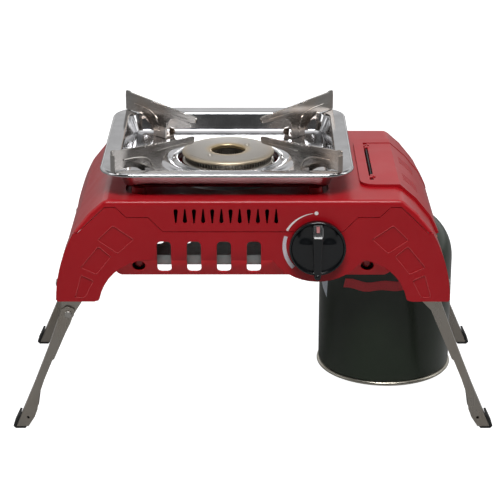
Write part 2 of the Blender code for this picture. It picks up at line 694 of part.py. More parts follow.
# ---- controls and gas path ---------------------------------------------------------------------
def build_knob():
    """The knob: dished skirt, tapered grip ridge with a nose at its lower end, and its pointer."""
    x, z = KNOB
    back, skirt = -KNOB_BACK, -KNOB_BACK - 4.6
    knob = turned("knob", [(0, skirt + 1.4), (14, skirt + 1.4), (19.4, skirt + 0.3), (20.6, skirt),
                           (KNOB_RADIUS, skirt + 1.2), (KNOB_RADIUS, back), (19.8, back),
                           (19.8, back - 2.2), (6.2, back - 2.2), (6.2, back), (0, back)],
                  (x, z), "Y", steps=40, finish="black_plastic")
    side = [(skirt + 0.9, z + 20.2), (-KNOB_REACH + 1.0, z + 12.6), (-KNOB_REACH, z + 11.0),
            (-KNOB_REACH, z - 19.6), (-KNOB_REACH + 1.4, z - 21.0), (skirt + 2.0, z - 21.0),
            (skirt + 2.0, z + 19.0)]
    ridge = prism("ridge", side, "X", x - 4.2, x + 4.2)
    plan = filleted([(x - 4.1, z + 22), (x - 2.8, z - 22), (x + 2.8, z - 22), (x + 4.1, z + 22)],
                    [0, 2.2, 2.2, 0], 3)
    combine(ridge, [prism("taper", plan, "Y", -KNOB_REACH - 1, 0)], "INTERSECT")
    join(knob, ridge)
    slope = Vector((-KNOB_REACH + 1.0 - (skirt + 0.9), -7.6)).normalized()
    start = Vector((skirt + 0.9, z + 20.2)) + slope * 2.0
    end = start + slope * 6.0
    out = Vector((slope.y, -slope.x)) * (1 if slope.y < 0 else -1)
    groove = [tuple(start + out * 2), tuple(end + out * 2), tuple(end - out * 0.8), tuple(start - out * 0.8)]
    cut(knob, prism("cutter", groove, "X", x - 1.6, x + 1.6))
    cut(knob, prism("cutter", circle((x, z), 3.3, 16), "Y", -9.5, 1))
    mark = [tuple(start + slope * 0.35 + out * 0.1), tuple(end - slope * 0.35 + out * 0.1),
            tuple(end - slope * 0.35 - out * 0.5), tuple(start + slope * 0.35 - out * 0.5)]
    pointer = prism("knob_pointer", mark, "X", x - 1.25, x + 1.25, "red_plastic")
    return knob, pointer


def build_valve():
    """The gas valve behind the knob: spindle, push collar, return spring and valve body."""
    spindle = turned("spindle", [(0, -9.2), (3.0, -9.2), (3.0, 30.0), (0, 30.0)], KNOB, "Y", 16, "brass")
    collar = turned("push_collar", [(3.3, 3.4), (6.6, 3.4), (6.6, 5.4), (3.3, 5.4)], KNOB, "Y", 20, "brass")
    turns, per_turn = 4, 10
    coil = []
    for i in range(turns * per_turn + 1):
        angle = 2 * pi * i / per_turn
        y = 6.5 + 8.5 * i / (turns * per_turn)
        coil.append((KNOB[0] + 4.9 * cos(angle), y, KNOB[1] + 4.9 * sin(angle)))
    spring = pipe("return_spring", coil, 0.45, "stainless", 1, 1)
    body = turned("gas_valve", [(6.4, 9.8), (9.0, 9.8), (9.0, 20), (11.0, 20), (11.0, 44), (0, 44), (0, 33),
                                (3.3, 33), (3.3, 19.6), (6.4, 19.6)], KNOB, "Y", 24, "brass")
    join(body, prism("port", circle((30.0, KNOB[1]), 4.6, 16), "X", KNOB[0] + 8, KNOB[0] + 16))
    return spindle, collar, spring, body


def build_gas_path():
    """Regulator over the canister, its seal, the inlet pipe, the outlet pipe and the injector."""
    low = CAN_TOP_Z + 5.6
    regulator = turned("regulator", [(0, 184), (8.5, 184), (9.5, 183), (9.5, 176), (15, 174.5), (15.5, 173),
                                     (15.5, low + 2), (14.5, low), (5.9, low), (5.9, low + 9.4),
                                     (0, low + 9.4)], CAN, steps=32, finish="brass")
    join(regulator, prism("port", circle((CAN[0], 168.4), 4.6, 16), "Y", CAN[1] - 22, CAN[1] - 12))
    seal = turned("canister_seal", [(5.9, low - 1.9), (9.4, low - 1.9), (9.4, low - 0.3), (5.9, low - 0.3)],
                  CAN, steps=24, finish="black_rubber")
    inlet = pipe("inlet_pipe", [(CAN[0], CAN[1] - 22.4, 168.4), (CAN[0], CAN[1] - 34, 168.4),
                                (105, 42, 167), (92, 31.5, 161.5), (78, 30, 156.6),
                                (KNOB[0] + 16.4, 30, KNOB[1])], 2.0, "brass", 2, 4)
    outlet = pipe("outlet_pipe", [(KNOB[0], 44.4, KNOB[1]), (KNOB[0], 56, KNOB[1] + 0.5), (51, 74, 160),
                                  (54, 88, 166.5), (56, BURNER[1], 170.5), (54, BURNER[1], 173),
                                  (51.4, BURNER[1], 173)], 2.0, "brass", 2, 4)
    injector = turned("injector", [(0, 51.0), (3.6, 51.0), (3.6, 46.5), (4.6, 46.5), (4.6, 43.6), (2.2, 42.0),
                                   (0, 42.0)], (BURNER[1], 173.0), "X", 12, "brass")
    return regulator, seal, inlet, outlet, injector


def build_canister():
    """The gas canister: thin shell with a domed shoulder, seamed base ring and valve."""
    x, y = CAN
    dome, inner = [], []
    for i in range(9):
        share = i / 8
        angle = share * pi / 2
        drop = CAN_TOP_Z - CAN_SHOULDER_Z
        dome.append((17 + (CAN_RADIUS - 17) * cos(angle), CAN_SHOULDER_Z + drop * sin(angle)))
        inner.append((17 + (CAN_RADIUS - CAN_WALL - 17) * cos(angle),
                      CAN_SHOULDER_Z + (drop - CAN_WALL) * sin(angle)))
    base = CAN_BASE_Z + 3.4
    shell = turned("canister", [(0, base + 5), (40, base + 3), (CAN_RADIUS - 2.5, base + 0.6),
                                (CAN_RADIUS - 1.6, base), (CAN_RADIUS, base), *dome,
                                (10.0, CAN_TOP_Z + 1.2), (9.2, CAN_TOP_Z + 1.2), (9.2, CAN_TOP_Z - 0.6),
                                *list(reversed(inner))[1:], (CAN_RADIUS - CAN_WALL, base + 2.5),
                                (40, base + 4.4), (0, base + 6.4)], CAN, steps=48, finish="green_enamel")
    ring = turned("canister_base_ring", [(CAN_RADIUS - 2.2, CAN_BASE_Z), (CAN_RADIUS + 0.6, CAN_BASE_Z),
                                         (CAN_RADIUS + 1.3, CAN_BASE_Z + 0.8),
                                         (CAN_RADIUS + 1.3, CAN_BASE_Z + 2.4),
                                         (CAN_RADIUS + 0.6, CAN_BASE_Z + 3.1),
                                         (CAN_RADIUS - 2.2, CAN_BASE_Z + 3.1)],
                  CAN, steps=48, finish="stainless")
    valve = turned("canister_valve", [(0, CAN_TOP_Z - 6), (8.8, CAN_TOP_Z - 6), (8.8, CAN_TOP_Z + 3.2),
                                      (5.5, CAN_TOP_Z + 3.2), (5.5, CAN_TOP_Z + 11), (4.8, CAN_TOP_Z + 11.6),
                                      (0, CAN_TOP_Z + 11.6)], CAN, steps=24, finish="brass")
    return shell, ring, valve


# ---- legs --------------------------------------------------------------------------------------
def leg_point(height, across):
    """A point on a right-hand leg: height of its place on the middle line, and distance outwards."""
    return Vector((FOOT_X - height * LEG_SLOPE, height)) + Vector((1, LEG_SLOPE)).normalized() * across


def leg_plan(top, head_inner):
    """The leg's side view from its head down the outer edge and back up: height and offset."""
    return [(top + 5.5, 4.4), (top + 1.0, 7.0), (64, 5.0), (33, 4.5), (9, 4.8), (-0.6, 4.8), (-0.6, -5.5),
            (11.6, -5.6), (18, -5.4), (30, -2.2), (43, -1.4), (59, -1.4), (61, -2.4), (top - 15, -2.8),
            (top - 6, -head_inner), (top + 5.5, -head_inner + 0.6)]


def leg_face(top, head_inner):
    """The outline of a right-hand leg's flanges, cut level at the sole."""
    kept = []
    for height, across in leg_plan(top, head_inner):
        point = leg_point(height, across)
        kept.append((point.x, max(point.y, 1.5)))
    return filleted(kept, [3.0, *[0] * 14, 2.5], 3)


def leg_channel(name, pivot):
    """A right-hand front leg: a channel with its web outside and two flanges towards the middle."""
    top = pivot[1]
    head_inner = 3.4 if top < LEG_SHELL_Z else 6.6
    leg = prism(name, leg_face(top, head_inner), "Y", *LEG_Y, "leg_steel")
    plan = [(top + 16, 20), (top - 9, 20), (top - 9, 6.4 - LEG_SHEET), (64, 5.0 - LEG_SHEET),
            (33, 4.5 - LEG_SHEET), (9, 4.8 - LEG_SHEET), (-8, 4.8 - LEG_SHEET), (-8, -60), (top + 16, -60)]
    hollow = [tuple(leg_point(height, across)) for height, across in plan]
    cut(leg, prism("cutter", hollow, "Y", LEG_Y[0] + LEG_SHEET, LEG_Y[1] - LEG_SHEET))
    cut(leg, prism("cutter", circle(pivot, PIN_RADIUS + 0.2, 16), "Y", LEG_Y[0] - 2, LEG_Y[1] + 2))
    rivet = tuple(leg_point(9.6, -1.0))
    cut(leg, prism("cutter", circle(rivet, 1.2, 10), "Y", LEG_Y[0] - 2, LEG_Y[0] + 3))
    return leg


def bracket_outline(pivot):
    """The fixed bracket that carries a leg's pivot, inside the leg's shell."""
    round_end = arc(pivot, 4.6, 180, 335, 6)
    x, z = pivot
    if z < LEG_SHELL_Z:
        return [(129.6, 113.5), *round_end, (149.0, 103.5), (149.4, 112.0), (147.6, 131.0), (127.5, 131.0)]
    return [(x - 6.0, z + 6), *round_end, (148.4, z + 1.5), (147.2, 134.0), (x - 4.0, 134.0)]


def build_leg_set(label, side, rear, pivot):
    """One corner's bracket, leg, rubber foot, pivot pin and bracket screw, in their real places."""
    leg = leg_channel(f"{label}_leg", pivot)
    gap = LEG_SHEET + 0.35
    inside = (LEG_Y[0] + gap, LEG_Y[1] - gap)
    bracket = prism(f"{label}_leg_bracket", bracket_outline(pivot), "Y", *inside, "leg_steel")
    top = bracket_outline(pivot)[-2]
    hollow = [(top[0] - 1.3, top[1] + 2), (148.2, LEG_SHELL_Z + 3), (148.2, 60), (100, 60), (100, top[1] + 2)]
    cut(bracket, prism("cutter", hollow, "Y", inside[0] + LEG_SHEET, inside[1] - LEG_SHEET))
    strap = prism("strap", circle(pivot, 3.6, 14), "Y", inside[0] + 0.2, inside[1] - 0.2)
    join(bracket, strap)
    cut(bracket, prism("cutter", circle(pivot, PIN_RADIUS + 0.2, 16), "Y", 0, 30),
        prism("cutter", circle((10.0, 122.0), 1.9, 12), "X", 140, 160))
    pin = turned(f"{label}_pivot_pin", [(0, LEG_Y[0] - 1.1), (2.6, LEG_Y[0] - 1.1), (3.2, LEG_Y[0] - 0.3),
                                        (PIN_RADIUS, LEG_Y[0] - 0.3), (PIN_RADIUS, LEG_Y[1] + 0.3),
                                        (3.2, LEG_Y[1] + 0.3), (2.6, LEG_Y[1] + 1.1), (0, LEG_Y[1] + 1.1)],
                 pivot, "Y", 16, "leg_steel")
    foot = build_foot(f"{label}_foot")
    screw = turned(f"{label}_bracket_screw", [(0, 153.2), (2.2, 153.2), (3.3, 152.2), (1.6, 152.2),
                                              (1.6, 146.0), (0, 146.0)], (10.0, 122.0), "X", 12, "leg_steel")
    pieces = [leg, bracket, pin, foot, screw]
    for piece in pieces:
        for vertex in piece.data.vertices:
            x, y = vertex.co.x * side, vertex.co.y
            vertex.co.x = x
            vertex.co.y = BODY_DEPTH * MM - y if rear else y
        if (side < 0) != rear:
            data = bmesh.new()
            data.from_mesh(piece.data)
            bmesh.ops.reverse_faces(data, faces=data.faces)
            data.to_mesh(piece.data)
            data.free()
    return pieces


def build_foot(name):
    """The rubber shoe wrapped round a right-hand leg's sole and its outer corner."""
    outer_top, inner_top = leg_point(9.0, 7.0), leg_point(9.0, 5.2)
    corner, sole_in = leg_point(-0.6, 5.2), leg_point(-0.6, -5.5)
    outline = [tuple(outer_top), tuple(inner_top), (corner.x, 1.15), (sole_in.x + 1.5, 1.15),
               (sole_in.x + 2.5, 0.0), (corner.x + 0.2, 0.0), (corner.x + 2.2, 2.0)]
    return prism(name, outline, "Y", LEG_Y[0] - 0.6, LEG_Y[1] + 0.6, "black_rubber")


def build_screw(name, x, rear):
    """A pan-head screw in a frame's deep hole, through to the bottom plate's flange."""
    screw = turned(name, [(0, 9.2), (2.4, 9.2), (3.6, 10.2), (3.6, 11.7), (1.6, 11.7), (1.6, 19.5), (0, 19.5)],
                   (x, SCREW_Z), "Y", 14, "leg_steel")
    if rear:
        for vertex in screw.data.vertices:
            vertex.co.y = BODY_DEPTH * MM - vertex.co.y
        data = bmesh.new()
        data.from_mesh(screw.data)
        bmesh.ops.reverse_faces(data, faces=data.faces)
        data.to_mesh(screw.data)
        data.free()
    return screw


# ---- assembly ----------------------------------------------------------------------------------
def clear_scene():
    for made in list(bpy.data.objects):
        bpy.data.objects.remove(made)


def main():
    clear_scene()
    stove = empty("stove", (0, 0, 0))
    stove.location.y = -(BODY_DEPTH - KNOB_REACH) / 2 * MM

    hang(stove, build_hood(), build_frame("front_frame", SLOT_XS, True),
         turned_round(build_frame("rear_frame", REAR_SLOT_XS, False)), build_bottom_plate(),
         build_heat_shield())

    lid_hinge = empty("lid_hinge", (LID_AXIS[0], LID_Y[0], LID_AXIS[1]), stove)
    hang(lid_hinge, build_lid())
    pin = [(0, LID_Y[0] + 4.0), (LID_PIN, LID_Y[0] + 4.0), (LID_PIN, LID_Y[1] - 4.0), (0, LID_Y[1] - 4.0)]
    hang(stove, turned("lid_hinge_pin", pin, LID_AXIS, "Y", 12, "leg_steel"))

    pan_seat = empty("pan_seat", (*BURNER, PAN_FLOOR_Z), stove)
    hang(pan_seat, build_pan())
    for label, sx, sy in (("front_left", -1, -1), ("front_right", 1, -1), ("rear_left", -1, 1),
                          ("rear_right", 1, 1)):
        hang(pan_seat, build_support(f"pot_support_{label}", sx, sy))

    hang(stove, *build_burner(), *build_electrode())

    knob_axis = empty("knob_axis", (KNOB[0], 0, KNOB[1]), stove)
    knob, pointer = build_knob()
    spindle, collar, spring, valve = build_valve()
    hang(knob_axis, knob, pointer, spindle, collar, spring)
    hang(stove, valve, *build_gas_path())

    can_axis = empty("canister_axis", (*CAN, CAN_TOP_Z), stove)
    hang(can_axis, *build_canister())

    for label, side, rear, pivot in (("front_left", -1, False, LEFT_PIVOT), ("rear_left", -1, True, LEFT_PIVOT),
                                     ("front_right", 1, False, RIGHT_PIVOT), ("rear_right", 1, True, RIGHT_PIVOT)):
        middle = sum(LEG_Y) / 2
        y = BODY_DEPTH - middle if rear else middle
        hinge = empty(f"{label}_leg_pivot", (side * pivot[0], y, pivot[1]), stove)
        leg, bracket, pin, foot, screw = build_leg_set(label, side, rear, pivot)
        hang(hinge, leg, foot)
        hang(stove, bracket, pin, screw)

    for label, x, rear in (("front_left", -SCREW_X, False), ("front_right", SCREW_X, False),
                           ("rear_left", -SCREW_X, True), ("rear_right", SCREW_X, True)):
        hang(stove, build_screw(f"{label}_frame_screw", x, rear))


main()
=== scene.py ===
"""Looks of the folding camp stove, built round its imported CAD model.

Shapes are written in the body's own millimetres (x right, y back from the front panel's face, z up
from the ground). at() turns them into the row's frame in metres.
"""

from math import atan2, cos, pi, radians, sin, sqrt

import bmesh
import bpy
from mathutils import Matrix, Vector


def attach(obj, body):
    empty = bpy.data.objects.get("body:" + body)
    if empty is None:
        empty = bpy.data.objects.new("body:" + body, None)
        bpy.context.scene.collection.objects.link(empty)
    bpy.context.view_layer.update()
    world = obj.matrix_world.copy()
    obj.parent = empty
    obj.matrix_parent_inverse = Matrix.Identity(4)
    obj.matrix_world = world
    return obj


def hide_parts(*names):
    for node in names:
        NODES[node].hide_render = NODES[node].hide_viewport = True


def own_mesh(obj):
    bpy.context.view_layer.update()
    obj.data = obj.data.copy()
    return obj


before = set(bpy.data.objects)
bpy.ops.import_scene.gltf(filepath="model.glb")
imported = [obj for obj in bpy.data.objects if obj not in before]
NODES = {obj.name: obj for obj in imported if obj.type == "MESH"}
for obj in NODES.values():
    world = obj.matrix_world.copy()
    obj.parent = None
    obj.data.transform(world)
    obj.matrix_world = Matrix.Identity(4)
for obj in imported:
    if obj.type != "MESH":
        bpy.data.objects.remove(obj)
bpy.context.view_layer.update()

MM = 0.001
FRONT_Y = -86.75  # the front panel's face in the row frame
BURNER = (-20.0, 94.5)
CAN = (109.0, 92.0)
KNOB = (49.3, 156.0)
PAN_HALF = (97.5, 93.3)
PAN_RIM_Z = 213.0
PAN_FLOOR_Z = 197.0
CAP_Z = 204.5
CAN_RADIUS = 54.2
CORNERS = ("front_left", "front_right", "rear_left", "rear_right")


def at(x, y, z):
    """A point of the body's own millimetres in the row frame."""
    return Vector((x, y + FRONT_Y, z)) * MM


# ---- materials ---------------------------------------------------------------------------------
class Shader:
    """A Principled material and short ways to add nodes to it."""

    def __init__(self, name, colour, roughness, metallic=0.0, **sockets):
        self.material = bpy.data.materials.new(name)
        self.material.use_nodes = True
        self.tree = self.material.node_tree
        self.bsdf = self.tree.nodes["Principled BSDF"]
        self.set("Base Color", (*colour, 1.0))
        self.set("Roughness", roughness)
        self.set("Metallic", metallic)
        for key, value in sockets.items():
            self.set(key.replace("_", " "), value)

    def set(self, socket, value):
        self.bsdf.inputs[socket].default_value = value

    def node(self, kind, inputs=(), **props):
        made = self.tree.nodes.new(kind)
        for key, value in props.items():
            setattr(made, key, value)
        for key, value in dict(inputs).items():
            if isinstance(value, bpy.types.NodeSocket):
                self.tree.links.new(value, made.inputs[key])
            else:
                made.inputs[key].default_value = value
        return made

    def place(self, scale=(1, 1, 1), rotation=(0, 0, 0), location=(0, 0, 0)):
        """Object coordinates, scaled: stretched noise makes grain and brushing."""
        coords = self.node("ShaderNodeTexCoord")
        mapping = self.node("ShaderNodeMapping", {"Vector": coords.outputs["Object"], "Scale": scale,
                                                  "Rotation": rotation, "Location": location})
        return mapping.outputs["Vector"]

    def noise(self, scale, detail=4.0, vector=None, rough=0.55):
        made = self.node("ShaderNodeTexNoise", {"Scale": scale, "Detail": detail, "Roughness": rough,
                                                "Vector": vector or self.place()})
        return made.outputs["Fac"]

    def ramp(self, fac, stops):
        made = self.node("ShaderNodeValToRGB", {"Fac": fac})
        elements = made.color_ramp.elements
        while len(elements) < len(stops):
            elements.new(0.5)
        for element, (place, colour) in zip(elements, stops):
            element.position = place
            element.color = (*colour, 1.0) if len(colour) == 3 else colour
        return made.outputs["Color"]

    def map_range(self, fac, low, high, to_low, to_high):
        made = self.node("ShaderNodeMapRange", {"Value": fac, "From Min": low, "From Max": high,
                                                "To Min": to_low, "To Max": to_high})
        return made.outputs["Result"]

    def inside_mask(self, planes):
        """1 for points on the inner side of every plane (normal, offset in body millimetres), else 0."""
        coords = self.node("ShaderNodeTexCoord").outputs["Object"]
        mask = None
        for normal, offset in planes:
            along = self.node("ShaderNodeVectorMath", {0: coords, 1: normal}, operation="DOT_PRODUCT")
            bound = (offset + normal[1] * FRONT_Y) * MM
            test = self.node("ShaderNodeMath", {0: along.outputs["Value"], 1: bound},
                             operation="GREATER_THAN")
            mask = test.outputs[0] if mask is None else self.node(
                "ShaderNodeMath", {0: mask, 1: test.outputs[0]}, operation="MULTIPLY").outputs[0]
        return mask

    def link(self, output, socket):
        self.tree.links.new(output, self.bsdf.inputs[socket])

    def bump(self, height, strength, distance):
        made = self.node("ShaderNodeBump", {"Height": height, "Strength": strength, "Distance": distance})
        self.link(made.outputs["Normal"], "Normal")
        return made

    def mix(self, fac, a, b, mode="MIX"):
        made = self.node("ShaderNodeMix", data_type="RGBA", blend_type=mode)
        for key, value in ((0, fac), (6, a), (7, b)):
            if isinstance(value, bpy.types.NodeSocket):
                self.tree.links.new(value, made.inputs[key])
            else:
                made.inputs[key].default_value = value
        return made.outputs[2]


# Planes, each an inward normal and an offset in body millimetres, round the shell's unlit inside, which gets
# painted shade, and round the front panel's slanting lower lip, which gets a painted reflection. 0.577 is the
# lip's slope, 9 mm back in 15.6 mm down.
SHELL_INSIDE = [((1, 0, 0), -112), ((-1, 0, 0), -112), ((0, 0, -1), -185.5), ((0, 1, 0), 2.3),
                ((0, -1, 0), -186.7), ((0, 1, 0.577), 85.6), ((0, -1, 0.577), -103.4)]
FRONT_LIP = [((0, 1, 0), 0.35), ((0, -1, 0), -9.6), ((0, 0, -1), -144.4), ((0, 0, 1), 126.0),
             ((1, 0, 0), -108), ((-1, 0, 0), -108)]


def red_enamel():
    """Gloss powder coat, slightly mottled, with a painted reflection brightening the lip and painted shade
    inside.
    """
    made = Shader("red_enamel", (0.30, 0.008, 0.014), 0.3, Specular_IOR_Level=0.35)
    outside = made.ramp(made.noise(14, 3), [(0.3, (0.345, 0.0045, 0.0095)),
                                            (0.7, (0.385, 0.0062, 0.0120))])
    # Near-black painted shade inside the shell, where no light reaches.
    painted_shade = made.inside_mask(SHELL_INSIDE)
    # The lip's lighter red is a painted reflection of the floor below it.
    lip = made.inside_mask(FRONT_LIP)
    painted_lip_reflection = made.mix(lip, outside, (0.66, 0.016, 0.024, 1.0))
    made.link(made.mix(painted_shade, painted_lip_reflection, (0.012, 0.0009, 0.0012, 1.0)), "Base Color")
    made.link(made.map_range(made.noise(55, 1), 0.35, 0.65, 0.29, 0.34), "Roughness")
    return made.material


def steel(name, colour, roughness, brush, warm=None):
    """Stainless sheet with directional polish; warm adds bronze heat tint in patches."""
    made = Shader(name, colour, roughness, 1.0)
    grain = made.noise(60, 5, made.place(scale=brush))
    base = made.ramp(grain, [(0.25, tuple(c * 0.86 for c in colour)),
                             (0.75, tuple(min(c * 1.08, 1) for c in colour))])
    if warm:
        patch = made.map_range(made.noise(22, 3), 0.45, 0.72, 0.0, 0.75)
        base = made.mix(patch, base, (*warm, 1.0))
    made.link(base, "Base Color")
    made.link(made.map_range(grain, 0.2, 0.8, roughness * 0.75, roughness * 1.35), "Roughness")
    made.bump(grain, 0.06, 0.0002)
    return made.material


def galvanised():
    """Zinc spangle on sheet steel."""
    made = Shader("galvanised_sheet", (0.42, 0.46, 0.45), 0.42, 1.0)
    cells = made.node("ShaderNodeTexVoronoi", {"Scale": 220.0, "Vector": made.place()})
    made.link(made.ramp(cells.outputs["Distance"], [(0.0, (0.38, 0.42, 0.41)), (0.8, (0.52, 0.56, 0.55))]),
              "Base Color")
    made.link(made.map_range(cells.outputs["Distance"], 0.0, 0.8, 0.34, 0.52), "Roughness")
    return made.material


def plastic(name, colour, roughness, grain=700.0, coat=0.0):
    """Moulded plastic with a fine mould texture."""
    made = Shader(name, colour, roughness, Coat_Weight=coat, Coat_Roughness=0.08)
    speck = made.noise(grain, 2)
    made.link(made.map_range(speck, 0.3, 0.7, roughness * 0.85, roughness * 1.2), "Roughness")
    made.link(made.ramp(made.noise(40, 2), [(0.3, tuple(c * 0.85 for c in colour)),
                                            (0.7, tuple(c * 1.15 for c in colour))]), "Base Color")
    made.bump(speck, 0.05, 0.0002)
    return made.material


def rubber():
    made = Shader("black_rubber", (0.012, 0.012, 0.012), 0.75)
    made.bump(made.noise(1200, 3), 0.2, 0.0003)
    made.link(made.map_range(made.noise(90, 3), 0.3, 0.7, 0.65, 0.9), "Roughness")
    return made.material


def brass(name="turned_brass", colour=(0.62, 0.44, 0.17)):
    made = Shader(name, colour, 0.3, 1.0)
    rings = made.noise(80, 3, made.place(scale=(1, 1, 14)))
    made.link(made.map_range(rings, 0.3, 0.7, 0.2, 0.42), "Roughness")
    made.link(made.ramp(rings, [(0.2, tuple(c * 0.8 for c in colour)), (0.8, colour)]), "Base Color")
    return made.material


def cap_steel():
    """The burner cap's fine satin top, gold-tinted where it has been hot at its rims."""
    made = Shader("burner_cap_steel", (0.47, 0.44, 0.40), 0.42, 1.0)
    centre = at(*BURNER, 0)
    coords = made.place(location=(-centre.x, -centre.y, 0))
    flat = made.node("ShaderNodeVectorMath", {0: coords, 1: (1, 1, 0)}, operation="MULTIPLY")
    radius = made.node("ShaderNodeVectorMath", {0: flat.outputs[0]}, operation="LENGTH").outputs["Value"]
    tint = made.ramp(radius, [(0.0, (0.55, 0.40, 0.20)), (0.0150, (0.56, 0.43, 0.24)),
                              (0.0172, (0.47, 0.44, 0.40)), (0.0345, (0.47, 0.44, 0.40)),
                              (0.0366, (0.55, 0.43, 0.26))])
    grain = made.noise(900, 3)
    made.link(made.mix(0.12, tint, made.ramp(grain, [(0.3, (0.2, 0.2, 0.2)), (0.7, (1, 1, 1))]), "MULTIPLY"),
              "Base Color")
    made.link(made.map_range(made.noise(30, 3), 0.3, 0.7, 0.36, 0.5), "Roughness")
    made.bump(grain, 0.12, 0.0002)
    return made.material


def can_green():
    """Dark green lacquer on the canister, darker and faintly mottled."""
    made = Shader("canister_green", (0.016, 0.024, 0.014), 0.28, Specular_IOR_Level=0.4)
    made.link(made.ramp(made.noise(16, 3), [(0.3, (0.013, 0.020, 0.012)), (0.7, (0.020, 0.030, 0.018))]),
              "Base Color")
    made.bump(made.noise(500, 2), 0.05, 0.0003)
    return made.material


def print_ink(name, colour, roughness=0.4):
    made = Shader(name, colour, roughness)
    speck = made.ramp(made.noise(900, 2), [(0.25, tuple(c * 0.82 for c in colour)), (0.6, colour)])
    made.link(speck, "Base Color")
    return made.material


MATERIALS = {
    "red": red_enamel(),
    # A lighter red for the pressed lines on the leg shells: a painted highlight.
    "red_painted_highlight": print_ink("red_enamel_painted_highlight", (0.52, 0.055, 0.06), 0.25),
    "red_screw": print_ink("painted_screws", (0.42, 0.008, 0.012), 0.3),
    "pan": steel("polished_stainless", (0.56, 0.56, 0.57), 0.12, (1, 1, 1)),
    "support": steel("support_stainless", (0.44, 0.42, 0.40), 0.2, (1, 1, 5), warm=(0.42, 0.32, 0.25)),
    "leg": steel("leg_stainless", (0.40, 0.37, 0.33), 0.28, (1, 1, 0.15), warm=(0.36, 0.31, 0.25)),
    "ring": steel("flame_ring_steel", (0.40, 0.37, 0.33), 0.35, (1, 1, 4)),
    "bolt": steel("plated_screws", (0.45, 0.43, 0.40), 0.3, (1, 1, 1)),
    "rim": steel("canister_rim", (0.50, 0.47, 0.40), 0.3, (1, 1, 6)),
    "zinc": galvanised(),
    "cap": cap_steel(),
    "brass": brass(),
    "cast": steel("cast_aluminium", (0.5, 0.5, 0.5), 0.5, (1, 1, 1)),
    "black": plastic("knob_black", (0.0035, 0.0045, 0.0055), 0.18, coat=0.0),
    "piezo": plastic("igniter_black", (0.01, 0.01, 0.011), 0.45),
    "pointer": plastic("pointer_red", (0.20, 0.004, 0.008), 0.35),
    "rubber": rubber(),
    "ceramic": plastic("glazed_ceramic", (0.75, 0.74, 0.70), 0.25, coat=0.4),
    "green": can_green(),
    "ink_grey": print_ink("ink_grey", (0.62, 0.57, 0.62)),
    "ink_white": print_ink("ink_white", (0.85, 0.80, 0.80)),
    "ink_red": print_ink("ink_red", (0.62, 0.025, 0.035)),
    "ink_silver": print_ink("ink_silver", (0.72, 0.77, 0.84)),
    "ink_orange": print_ink("ink_orange", (0.62, 0.20, 0.02)),
}
NODE_LOOKS = {
    "red": ["hood", "front_frame", "rear_frame", "canister_lid"],
    "red_screw": [f"{c}_frame_screw" for c in CORNERS],
    "leg": [f"{c}_{k}" for c in CORNERS for k in ("leg", "leg_bracket")],
    "bolt": [f"{c}_{k}" for c in CORNERS for k in ("pivot_pin", "bracket_screw")]
    + ["spark_tip", "return_spring"],
    "zinc": ["bottom_plate", "heat_shield"],
    "rubber": [f"{c}_foot" for c in CORNERS] + ["igniter_lead", "canister_seal"],
    "brass": ["spindle", "push_collar", "gas_valve", "regulator", "inlet_pipe", "outlet_pipe", "injector",
              "canister_valve"],
    "cast": ["burner_bowl", "mixing_tube"],
    # The lid's hinge pin is black as painted shade along the hinge gap.
    "piezo": ["piezo_igniter", "lid_hinge_pin"],
    "pointer": ["knob_pointer"],
    "ceramic": ["spark_ceramic"],
}


def dress_nodes():
    """Gives every kept CAD node its finish and soft, rounded edges."""
    for look, names in NODE_LOOKS.items():
        for name in names:
            node = NODES[name]
            node.data.materials.clear()
            node.data.materials.append(MATERIALS[look])
            weld = node.modifiers.new("weld", "WELD")
            weld.merge_threshold = 0.00001
            edge = node.modifiers.new("edges", "BEVEL")
            edge.width = 0.0005 if look in ("red", "leg", "zinc") else 0.0002
            edge.segments = 2
            edge.limit_method = "ANGLE"
            edge.angle_limit = radians(38)
            edge.use_clamp_overlap = True
            edge.harden_normals = False
            smooth = node.modifiers.new("shading", "WEIGHTED_NORMAL")
            smooth.keep_sharp = False
            smooth.weight = 60
            node.data.shade_smooth()
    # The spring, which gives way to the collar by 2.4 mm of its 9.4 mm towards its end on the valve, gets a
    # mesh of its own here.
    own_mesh(NODES["return_spring"])


# ---- mesh helpers ------------------------------------------------------------------------------
def show(name, data, look, sharp=40.0):
    """Links a bmesh, held in body millimetres, as a piece in the row frame."""
    bmesh.ops.recalc_face_normals(data, faces=data.faces)
    for vertex in data.verts:
        vertex.co = at(*vertex.co)
    mesh = bpy.data.meshes.new(name)
    data.to_mesh(mesh)
    data.free()
    mesh.materials.append(MATERIALS[look])
    mesh.shade_smooth()
    mesh.set_sharp_from_angle(angle=radians(sharp))
    made = bpy.data.objects.new(name, mesh)
    bpy.context.scene.collection.objects.link(made)
    return made


def soften(made, width, segments=2, angle=35.0):
    edge = made.modifiers.new("edges", "BEVEL")
    edge.width = width * MM
    edge.segments = segments
    edge.limit_method = "ANGLE"
    edge.angle_limit = radians(angle)
    shade = made.modifiers.new("shading", "WEIGHTED_NORMAL")
    shade.weight = 60
    return made


def bridge(data, rings, closed=True, loop=False):
    """Quads between successive rings of vertices."""
    pairs = list(zip(rings, rings[1:]))
    if loop:
        pairs.append((rings[-1], rings[0]))
    for low, high in pairs:
        count = max(len(low), len(high))
        for i in range(count if closed else count - 1):
            k = (i + 1) % count
            corners = [low[i % len(low)], low[k % len(low)], high[k % len(high)], high[i % len(high)]]
            corners = list(dict.fromkeys(corners))
            if len(corners) > 2:
                data.faces.new(corners)


